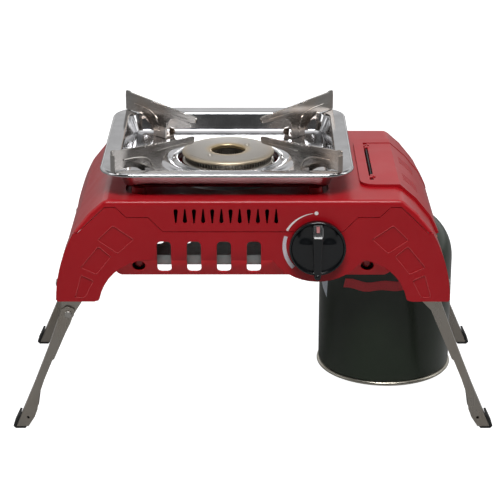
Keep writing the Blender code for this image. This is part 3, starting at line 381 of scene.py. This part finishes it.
def smooth_profile(points, steps=4):
    """A Catmull-Rom curve through the points of a profile; a doubled point keeps a crisp corner."""
    padded = [points[0], *points, points[-1]]
    made = []
    for i in range(1, len(padded) - 2):
        p = [Vector(q) for q in padded[i - 1:i + 3]]
        if (p[1] - p[2]).length < 1e-6:
            continue
        for k in range(steps):
            t = k / steps
            made.append(tuple(0.5 * (2 * p[1] + (p[2] - p[0]) * t
                                     + (2 * p[0] - 5 * p[1] + 4 * p[2] - p[3]) * t * t
                                     + (3 * p[1] - p[0] - 3 * p[2] + p[3]) * t ** 3)))
    return [*made, tuple(points[-1])]


def lathe(data, profile, centre, steps=96, axis="Z", loop=False):
    """Turns a profile of (radius, height) about a vertical axis, or about one along y."""
    rings = []
    for radius, height in profile:
        around = range(steps) if radius > 1e-6 else range(1)
        ring = []
        for i in around:
            angle = 2 * pi * i / steps
            u, v = centre[0] + radius * cos(angle), centre[1] + radius * sin(angle)
            ring.append(data.verts.new((u, v, height) if axis == "Z" else (u, height, v)))
        rings.append(ring)
    bridge(data, rings, loop=loop)


def tube(data, points, radius, sides=10, caps=True):
    """A round bar along points given in body millimetres."""
    path = [Vector(p) for p in points]
    rings = []
    up = Vector((0, 0, 1))
    for i, point in enumerate(path):
        along = (path[min(i + 1, len(path) - 1)] - path[max(i - 1, 0)]).normalized()
        side = along.cross(up)
        if side.length < 0.1:
            side = along.cross(Vector((0, 1, 0)))
        side.normalize()
        over = side.cross(along)
        rings.append([data.verts.new(point + side * radius * cos(2 * pi * k / sides)
                                     + over * radius * sin(2 * pi * k / sides)) for k in range(sides)])
    bridge(data, rings)
    if caps:
        data.faces.new(rings[0])
        data.faces.new(rings[-1])


def circle(centre, radius, steps):
    """Points round a circle."""
    return [(centre[0] + radius * cos(2 * pi * i / steps), centre[1] + radius * sin(2 * pi * i / steps))
            for i in range(steps)]


def rounded_rect(centre, hx, hy, radius, corner=10, straight=8):
    """Points round a rounded rectangle, with as many on every outline so that they can be bridged."""
    made = []
    for q, (sx, sy) in enumerate(((1, 1), (-1, 1), (-1, -1), (1, -1))):
        cx, cy = centre[0] + sx * (hx - radius), centre[1] + sy * (hy - radius)
        arc = [(cx + radius * cos(pi / 2 * (q + i / corner)), cy + radius * sin(pi / 2 * (q + i / corner)))
               for i in range(corner + 1)]
        made += arc
        nx, ny = ((-1, 1), (-1, -1), (1, -1), (1, 1))[q]
        end = (centre[0] + nx * (hx - radius) + (radius * cos(pi / 2 * (q + 1))),
               centre[1] + ny * (hy - radius) + (radius * sin(pi / 2 * (q + 1))))
        last = arc[-1]
        made += [(last[0] + (end[0] - last[0]) * i / straight, last[1] + (end[1] - last[1]) * i / straight)
                 for i in range(1, straight)]
    return made


# ---- pan ---------------------------------------------------------------------------------------
def build_pan():
    """The pressed drip pan: rolled edge, flange, sloping walls, dished floor and burner lip."""
    rim, floor = PAN_RIM_Z, PAN_FLOOR_Z
    top = smooth_profile([(0.2, rim - 2.6), (0.3, rim - 1.2), (1.6, rim - 0.1), (3.4, rim), (11.2, rim - 0.5),
                          (12.8, rim - 0.9), (13.8, rim - 2.0), (14.9, rim - 4.8), (18.3, floor + 2.6),
                          (19.5, floor + 0.8), (21.5, floor + 0.05), (25.0, floor)], 3)
    data = bmesh.new()
    rings = []
    for inset, z in top:
        points = rounded_rect(BURNER, PAN_HALF[0] - inset, PAN_HALF[1] - inset, max(24.0 - inset * 0.85, 5.0))
        rings.append([data.verts.new((x, y, z)) for x, y in points])
    last = [(v.co.x, v.co.y) for v in rings[-1]]
    lip = smooth_profile([(62, floor), (55, floor + 0.1), (52.5, floor + 0.9), (49, floor + 1.3),
                          (46.5, floor + 0.6), (44.6, floor + 0.5), (43.4, floor + 1.7), (42.0, floor + 2.0),
                          (40.8, floor + 1.2), (40.5, floor - 0.6), (40.5, floor - 0.9)], 3)
    for radius, z in lip:
        ring = []
        for x, y in last:
            angle = atan2(y - BURNER[1], x - BURNER[0])
            ring.append(data.verts.new((BURNER[0] + radius * cos(angle), BURNER[1] + radius * sin(angle), z)))
        rings.append(ring)
    bridge(data, rings)
    pan = show("pan_pressing", data, "pan", sharp=60)
    solid = pan.modifiers.new("sheet", "SOLIDIFY")
    solid.thickness = 0.0008
    solid.offset = -1.0
    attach(pan, "pan")
    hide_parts("drip_pan")


# ---- pot supports ------------------------------------------------------------------------------
def blade_top(distance):
    return 223.3 + (distance - 37.0) * 0.0665


def blade_outline():
    """A pot support's blade from its side: horn, straight run, teeth, slanted tip, arch and stem."""
    rim = PAN_RIM_Z + 0.35
    outline = [(123.4, rim), (123.4, 228.9), (122.8, 229.7), (119.8, 229.8), (118.6, 229.2),
               (117.9, blade_top(117.9) + 0.15), (112, blade_top(112))]
    first, count = 92.0, 13
    pitch = (first - 46.0) / count
    for i in range(count):
        x = first - i * pitch
        outline += [(x, blade_top(x)), (x - pitch * 0.28, blade_top(x) - 0.15),
                    (x - pitch * 0.52, blade_top(x) - 1.25), (x - pitch * 0.72, blade_top(x) - 1.15),
                    (x - pitch * 0.88, blade_top(x - pitch) - 0.25)]
    outline += [(45.6, blade_top(45)), (39.4, blade_top(38)), (37.6, blade_top(38) - 0.6),
                (36.9, blade_top(38) - 1.9), (38.2, 218.6), (39.2, 217.8), (41, 217.5), (54, 217.4),
                (62, 217.0), (67.4, 215.8), (71.0, 213.2), (73.0, 209.2), (73.9, 204.0), (74.2, 198.0),
                (74.4, PAN_FLOOR_Z + 0.35), (89.0, PAN_FLOOR_Z + 0.35), (89.2, 201.4), (90.6, 204.6),
                (93.8, 208.0), (98.4, 211.0), (104.0, 212.9), (110, rim)]
    return outline


def build_supports():
    """Four toothed blades with a pressed bead, a wing across the stem and a riveted foot."""
    base = PAN_FLOOR_Z + 0.35
    for name, sx, sy in (("front_left", -1, -1), ("front_right", 1, -1), ("rear_left", -1, 1),
                         ("rear_right", 1, 1)):
        data = bmesh.new()
        sides = [[data.verts.new((d, w, h)) for d, h in blade_outline()] for w in (-0.8, 0.8)]
        for side in sides:
            data.faces.new(side)
        bridge(data, sides)
        wing = [(86.9, base + 1.0), (88.0, base + 1.0), (92.2, 209.6), (92.6, 212.4), (91.4, 212.4),
                (91.0, 209.6)]
        ends = [[data.verts.new((d, w, h)) for d, h in wing] for w in (0.7, 11.5)]
        for end in ends:
            data.faces.new(end)
        bridge(data, ends)
        foot = [(75.4, 0.7), (89.0, 0.7), (89.0, 9.5), (87.6, 11.9), (85.0, 12.6), (79.0, 12.6), (76.4, 11.4),
                (75.4, 9.0)]
        ends = [[data.verts.new((d, w, h)) for d, w in foot] for h in (base, base + 1.4)]
        for end in ends:
            data.faces.new(end)
        bridge(data, ends)
        tab = [(76.0, base + 1.2), (83.0, base + 1.2), (82.4, base + 5.8), (76.8, base + 5.8)]
        ends = [[data.verts.new((d, w, h)) for d, h in tab] for w in (11.4, 12.4)]
        for end in ends:
            data.faces.new(end)
        bridge(data, ends)
        rivet = [(0, base + 2.7), (1.2, base + 2.6), (2.0, base + 2.0), (2.2, base + 1.3), (0, base + 1.2)]
        lathe(data, rivet, (81.5, 6.6), steps=20)
        bead = [(112, 220.2), (100, 219.4), (90, 217.2), (84.5, 212.8), (82.2, 207.0), (81.6, 201.5)]
        bead = smooth_profile(bead, 5)
        for w in (-0.75, 0.75):
            tube(data, [(d, w, h) for d, h in bead], 0.85, sides=8)
        lower = smooth_profile([(78, 219.6), (68, 220.2), (58, 220.0), (46, 219.6)], 5)
        for w in (-0.75, 0.75):
            tube(data, [(d, w, h) for d, h in lower], 0.45, sides=8)
        flange = [(123.4, -0.8), (124.2, -0.2), (124.2, 4.4), (123.2, 4.4), (122.4, 0.8)]
        ends = [[data.verts.new((d, w, h)) for d, w in flange] for h in (PAN_RIM_Z + 0.35, 226.5)]
        for end in ends:
            data.faces.new(end)
        bridge(data, ends)
        angle = atan2(sy, sx)
        flip = -1 if sx * sy < 0 else 1
        for vertex in data.verts:
            d, w = vertex.co.x, vertex.co.y * flip
            vertex.co.x = BURNER[0] + d * cos(angle) - w * sin(angle)
            vertex.co.y = BURNER[1] + d * sin(angle) + w * cos(angle)
        support = soften(show(f"pot_support_steel_{name}", data, "support", sharp=30), 0.22, 2, 40)
        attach(support, "pan")
        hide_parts(f"pot_support_{name}")


# ---- burner ------------------------------------------------------------------------------------
def build_burner():
    """The satin cap with its rolled edges, stamped marks and the toothed flame ring under it."""
    top = CAP_Z
    data = bmesh.new()
    profile = smooth_profile([(13.7, top - 3.4), (13.5, top - 1.6), (13.9, top - 0.5), (14.8, top - 0.05),
                              (16.0, top), (16.0, top), (33.6, top), (33.6, top), (35.2, top - 0.2),
                              (36.5, top - 0.9), (37.0, top - 2.1), (36.6, top - 2.9)], 3)
    under = [(35.9, top - 2.8), (35.6, top - 1.3), (15.4, top - 1.3), (15.1, top - 3.2)]
    lathe(data, [*profile, *under], BURNER, 128, loop=True)
    cap = show("burner_cap_steel", data, "cap", sharp=50)
    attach(cap, "stove")
    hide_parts("burner_cap")

    data = bmesh.new()
    for mx, my, turn in ((-34.3, 77.2, 25.0), (-4.7, 106.4, 205.0)):
        for start, end in ((10, 150), (200, 330)):
            points = []
            for i in range(13):
                angle = radians(turn + start + (end - start) * i / 12)
                points.append((mx + 2.3 * cos(angle), my + 2.3 * sin(angle), top + 0.02))
            tube(data, points, 0.22, 6)
        tube(data, [(mx - 0.5, my, top + 0.02), (mx + 0.6, my + 0.2, top + 0.02)], 0.3, 6)
    for side in (-1, 1):
        angle = radians(-90 + side * 47)
        out = Vector((cos(angle), sin(angle)))
        along = Vector((-out.y, out.x))
        middle = Vector(BURNER) + out * 33.2
        ends = [middle + along * 8.5, middle - along * 8.5]
        tube(data, [(e.x, e.y, top + 0.0) for e in ends], 0.35, 6)
    marks = show("cap_stampings", data, "ring")
    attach(marks, "stove")

    data = bmesh.new()
    ring_top, ring_low = top - 1.6, top - 7.4
    count = 84
    outline = []
    for i in range(count):
        for share, radius in ((0.0, 33.2), (0.42, 33.2), (0.5, 35.0), (0.92, 35.0)):
            angle = 2 * pi * (i + share) / count
            outline.append((BURNER[0] + radius * cos(angle), BURNER[1] + radius * sin(angle)))
    inner = circle(BURNER, 17, len(outline))
    rings = [[data.verts.new((x, y, z)) for x, y in points]
             for points, z in ((inner, ring_low), (outline, ring_low), (outline, ring_top),
                               (inner, ring_top))]
    bridge(data, rings, loop=True)
    base = smooth_profile([(33.0, ring_low + 0.4), (35.4, ring_low + 0.5), (36.6, ring_low - 0.2),
                           (37.0, ring_low - 1.2), (36.2, ring_low - 2.0)], 3)
    lathe(data, [*base, (31.0, ring_low - 2.0), (31.0, ring_low + 0.4)], BURNER, 96, loop=True)
    core = []
    for i in range(40):
        for share, radius in ((0.0, 12.9), (0.45, 12.9), (0.5, 12.2), (0.95, 12.2)):
            angle = 2 * pi * (i + share) / 40
            core.append((BURNER[0] + radius * cos(angle), BURNER[1] + radius * sin(angle)))
    outer = circle(BURNER, 13.4, len(core))
    rings = [[data.verts.new((x, y, z)) for x, y in points]
             for points, z in ((core, ring_low - 2), (core, ring_top - 2.6), (outer, ring_top - 2.6),
                               (outer, ring_low - 2))]
    bridge(data, rings, loop=True)
    ring = show("flame_ring_ports", data, "ring", sharp=30)
    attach(ring, "stove")
    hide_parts("flame_ring")


# ---- knob --------------------------------------------------------------------------------------
def build_knob():
    """The knob's dished skirt with finger scoops, and its tapered grip ridge."""
    data = bmesh.new()
    steps, rows = 96, []
    profile = smooth_profile([(21.7, -3.0), (21.7, -3.0), (21.7, -6.6), (21.5, -7.3), (20.9, -7.7),
                              (20.2, -7.5), (19.4, -6.7), (17.0, -6.3), (12.0, -6.2), (6.0, -6.2),
                              (0.5, -6.2)], 3)
    for radius, y in profile:
        ring = []
        for i in range(steps):
            angle = 2 * pi * i / steps
            dx, dz = radius * cos(angle), radius * sin(angle)
            dip = 0.0
            if radius < 19.6:
                # A scoop each side of the grip's upper half.
                near = max(0.0, 1 - ((abs(dx) - 9.0) / 6.5) ** 2) * max(0.0, 1 - ((dz - 9.5) / 6.0) ** 2)
                dip = 1.9 * near
            ring.append(data.verts.new((KNOB[0] + dx, y + dip, KNOB[1] + dz)))
        rows.append(ring)
    bridge(data, rows)
    data.faces.new(rows[-1])
    data.faces.new(rows[0])
    skirt = show("knob_skirt", data, "black", sharp=50)
    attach(skirt, "dial")
    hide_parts("knob")

    data = bmesh.new()
    sections = [  # height on the ridge, half width and how far it stands out
        (20.4, 4.1, 5.6), (19.4, 4.2, 6.9), (16.0, 4.2, 10.0), (12.8, 4.1, 13.9), (11.0, 3.9, 15.2),
        (6.0, 3.5, 15.4), (0.0, 3.2, 15.5), (-8.0, 2.9, 15.5), (-15.0, 2.7, 15.5), (-18.6, 2.6, 15.3),
        (-20.6, 2.7, 14.6), (-21.6, 2.4, 12.6), (-21.7, 2.3, 7.0)]
    rings = []
    for dz, half, reach in sections:
        edge = min(0.9, half * 0.3)
        ring = [(-half - 0.5, -5.4), (-half, -reach + edge), (-half + edge, -reach), (half - edge, -reach),
                (half, -reach + edge), (half + 0.5, -5.4)]
        rings.append([data.verts.new((KNOB[0] + x, y, KNOB[1] + dz)) for x, y in ring])
    bridge(data, rings)
    data.faces.new(rings[0])
    data.faces.new(rings[-1])
    grip = soften(show("knob_grip", data, "black", sharp=32), 0.35, 3, 28)
    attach(grip, "dial")

    data = bmesh.new()
    lathe(data, [(0, -15.9), (1.6, -15.6), (2.5, -14.6), (2.7, -13.0), (2.7, -8.0), (0, -8.0)],
          (KNOB[0], KNOB[1] - 20.4), 28, axis="Y")
    nose = show("knob_nose", data, "black")
    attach(nose, "dial")


# ---- canister ----------------------------------------------------------------------------------
def build_canister():
    """The canister's smooth lacquered shell, its seamed steel rim and its printed panels."""
    base, shoulder, top = 24.4, 115.0, 154.0
    wide = CAN_RADIUS
    dome = [(17 + (wide - 17) * cos(i / 16 * pi / 2), shoulder + (top - shoulder) * sin(i / 16 * pi / 2))
            for i in range(17)]
    data = bmesh.new()
    lathe(data, [(0, base + 5), (40, base + 3), (wide - 2.5, base + 0.6), (wide - 1.2, base),
                 (wide - 0.3, base + 0.2), (wide, base + 1.0), *dome, (10.0, top + 1.2), (9.2, top + 1.2),
                 (9.2, top - 0.6), (0, top - 0.7)], CAN, 128)
    shell = show("canister_shell", data, "green", sharp=50)
    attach(shell, "gas_can")
    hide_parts("canister")

    data = bmesh.new()
    low = 21.0
    rim = smooth_profile([(wide - 2.0, low + 0.6), (wide - 0.4, low), (wide + 0.7, low + 0.3),
                          (wide + 1.3, low + 1.3), (wide + 0.9, low + 2.5), (wide + 0.2, low + 3.1)], 4)
    lathe(data, [*rim, (wide - 1.6, low + 3.1), (wide - 2.2, low + 2.0)], CAN, 128, loop=True)
    ring = show("canister_rim_seam", data, "rim")
    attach(ring, "gas_can")
    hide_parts("canister_base_ring")

    def patch(name, look, low, high):
        """A printed patch between two edges, each a list of (degrees from the front, height)."""
        data = bmesh.new()
        rows = []
        for k in range(7):
            row = []
            for (a, za), (b, zb) in zip(low, high):
                angle, z = radians(a + (b - a) * k / 6 - 90), za + (zb - za) * k / 6
                rise = min(max((z - shoulder) / (top - shoulder), 0.0), 1.0)
                radius = 17.25 + (wide - 17) * sqrt(1 - rise * rise)
                row.append(data.verts.new((CAN[0] + radius * cos(angle), CAN[1] + radius * sin(angle), z)))
            rows.append(row)
        bridge(data, rows, closed=False)
        printed = show(name, data, look)
        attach(printed, "gas_can")

    wave = [(-42 + 4 * i, 101.5 + 0.9 * sin(i * 0.9) + i * 0.25) for i in range(16)]
    patch("can_band_red", "ink_red", wave, [(a + 2, z + 8.0) for a, z in wave])
    patch("can_slash_silver", "ink_silver", [(-84, 104), (-78, 98), (-72, 92), (-64, 86)],
          [(-83, 128), (-76, 128), (-68, 128), (-60, 128)])
    patch("can_spot_orange", "ink_orange", [(30 + 4 * i, 139.0 + 0.4 * sin(i)) for i in range(8)],
          [(31 + 4 * i, 142.5 + 0.6 * sin(i)) for i in range(8)])


# ---- prints ------------------------------------------------------------------------------------
def flat_band(data, inner, outer, start, end, y, taper=1.0, steps=36):
    """A printed band round the knob, between two angles, narrowing to taper at its end."""
    rows = []
    for i in range(steps + 1):
        share = i / steps
        angle = radians(start + (end - start) * share)
        half = (outer - inner) / 2 * (1 + (taper - 1) * share)
        middle = (outer + inner) / 2
        rows.append([data.verts.new((KNOB[0] + r * cos(angle), y, KNOB[1] + r * sin(angle)))
                     for r in (middle - half, middle + half)])
    bridge(data, rows, closed=False)


def build_prints():
    """The flame scale printed round the knob: two tapering arcs and a dot, with no lettering."""
    data = bmesh.new()
    flat_band(data, 23.7, 26.9, 224.0, 162.0, -0.12, 0.85)
    low = show("scale_lower_arc", data, "ink_grey")
    data = bmesh.new()
    flat_band(data, 25.6, 27.4, 152.0, 98.0, -0.12, 0.25)
    high = show("scale_upper_arc", data, "ink_white")
    data = bmesh.new()
    lathe(data, [(0, -0.14), (1.5, -0.14), (1.5, -0.02), (0, -0.02)], (48.3, 182.4), 24, axis="Y")
    dot = show("scale_dot", data, "ink_white")
    for piece in (low, high, dot):
        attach(piece, "stove")


def build_pressings():
    """The raised lines round the three panels pressed into each leg shell, in a lighter red that is a painted
    highlight on the pressed edges.
    """
    panels = [[(107.0, 172.5), (119.0, 160.5), (103.6, 149.8), (91.2, 161.2)],
              [(118.6, 155.6), (109.0, 147.2), (120.4, 132.6), (132.6, 138.2)],
              [(123.0, 127.4), (132.4, 132.0), (137.6, 113.6), (130.0, 113.4)]]
    for name, y in (("front", 0.08), ("rear", 188.92)):
        data = bmesh.new()
        for side in (-1, 1):
            for panel in panels:
                corners = [Vector((side * x, y, z)) for x, z in panel]
                line = []
                for i, corner in enumerate(corners):
                    before, after = corners[i - 1] - corner, corners[(i + 1) % 4] - corner
                    start, end = corner + before.normalized() * 1.6, corner + after.normalized() * 1.6
                    line += [start, corner * 0.5 + (start + end) * 0.25, end]
                tube(data, [*line, line[0]], 0.28, 8, caps=False)
        lines = show(f"{name}_shell_pressing_highlights", data, "red_painted_highlight")
        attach(lines, "stove")

    # A strip under the deck behind the small vents, made near-black by the painted shade inside the shell,
    # stands in for the shade seen through them.
    data = bmesh.new()
    rings = [[data.verts.new((x, y, z)) for x, y in ((-80, 20.0), (24, 20.0), (24, 20.8), (-80, 20.8))]
             for z in (155.0, 184.5)]
    bridge(data, rings)
    data.faces.new(rings[0])
    data.faces.new(rings[1])
    shade_sheet = show("vent_shade_sheet", data, "red")
    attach(shade_sheet, "stove")


# ---- stage -------------------------------------------------------------------------------------
def build_stage():
    """A plain white floor, three softboxes and a room that is darker on the camera's side."""
    data = bmesh.new()
    reach = 40.0
    rows = [[data.verts.new((x, y, 0.0)) for x in (-reach, reach)] for y in (-reach, reach)]
    bridge(data, rows, closed=False)
    mesh = bpy.data.meshes.new("floor")
    data.to_mesh(mesh)
    data.free()
    mesh.shade_smooth()
    paint = bpy.data.materials.new("floor_paint")
    paint.use_nodes = True
    shader = paint.node_tree.nodes["Principled BSDF"]
    shader.inputs["Base Color"].default_value = (0.30, 0.30, 0.30, 1.0)
    shader.inputs["Roughness"].default_value = 0.9
    shader.inputs["Emission Color"].default_value = (1.0, 1.0, 1.0, 1.0)
    seen = paint.node_tree.nodes.new("ShaderNodeLightPath").outputs["Is Camera Ray"]
    paint.node_tree.links.new(seen, shader.inputs["Emission Strength"])
    mesh.materials.append(paint)
    floor = bpy.data.objects.new("floor", mesh)
    bpy.context.scene.collection.objects.link(floor)
    floor.location.z = -0.0002

    def softbox(name, location, target, size, power):
        light = bpy.data.lights.new(name, "AREA")
        light.shape = "RECTANGLE"
        light.size, light.size_y = size
        light.energy = power
        made = bpy.data.objects.new(name, light)
        bpy.context.scene.collection.objects.link(made)
        made.location = location
        made.rotation_euler = (Vector(target) - Vector(location)).to_track_quat("-Z", "Y").to_euler()
        return made

    softbox("key", (0.1, -1.0, 1.6), (0, 0, 0.12), (0.9, 0.5), 27)
    softbox("top", (0.1, 0.3, 1.6), (0, 0, 0.1), (1.4, 1.1), 3.5)
    softbox("left", (-1.4, -0.3, 0.9), (0, 0, 0.15), (0.35, 1.1), 3)
    softbox("right", (1.4, 0.0, 0.9), (0, 0, 0.15), (0.35, 1.1), 3)

    world = bpy.data.worlds.new("studio")
    bpy.context.scene.world = world
    world.use_nodes = True
    tree = world.node_tree
    coords = tree.nodes.new("ShaderNodeTexCoord")
    split = tree.nodes.new("ShaderNodeSeparateXYZ")
    ramp = tree.nodes.new("ShaderNodeValToRGB")
    tree.links.new(coords.outputs["Generated"], split.inputs[0])
    tree.links.new(split.outputs["Z"], ramp.inputs["Fac"])
    stops = [(0.0, 0.75), (0.12, 0.55), (0.24, 0.30), (0.34, 0.55), (0.50, 0.55), (0.62, 0.12), (1.0, 0.5)]
    elements = ramp.color_ramp.elements
    while len(elements) < len(stops):
        elements.new(0.5)
    for element, (place, value) in zip(elements, stops):
        element.position = place
        element.color = (value, value, value, 1.0)
    # The room is brighter behind the stove than on the camera's side.
    depth = tree.nodes.new("ShaderNodeMapRange")
    tree.links.new(split.outputs["Y"], depth.inputs["Value"])
    for socket, value in (("From Min", -0.5), ("From Max", 0.4), ("To Min", 0.09), ("To Max", 1.0)):
        depth.inputs[socket].default_value = value
    shade = tree.nodes.new("ShaderNodeVectorMath")
    shade.operation = "SCALE"
    tree.links.new(ramp.outputs["Color"], shade.inputs[0])
    tree.links.new(depth.outputs["Result"], shade.inputs["Scale"])
    tree.links.new(shade.outputs[0], tree.nodes["Background"].inputs["Color"])
    tree.nodes["Background"].inputs["Strength"].default_value = 1.4

    camera = bpy.data.cameras.new("camera")
    camera.sensor_width = 36.0
    camera.lens = 1769.0 / 500.0 * 36.0
    camera.shift_x = -0.006
    camera.clip_end = 100
    made = bpy.data.objects.new("camera", camera)
    bpy.context.scene.collection.objects.link(made)
    made.location = (0.0, FRONT_Y * MM - 1.270, 0.62497)
    made.rotation_euler = (radians(90 - 20.4), 0, 0)
    bpy.context.scene.camera = made


bpy.context.scene.view_settings.view_transform = "Standard"

dress_nodes()
build_pan()
build_supports()
build_burner()
build_knob()
build_canister()
build_prints()
build_pressings()
build_stage()
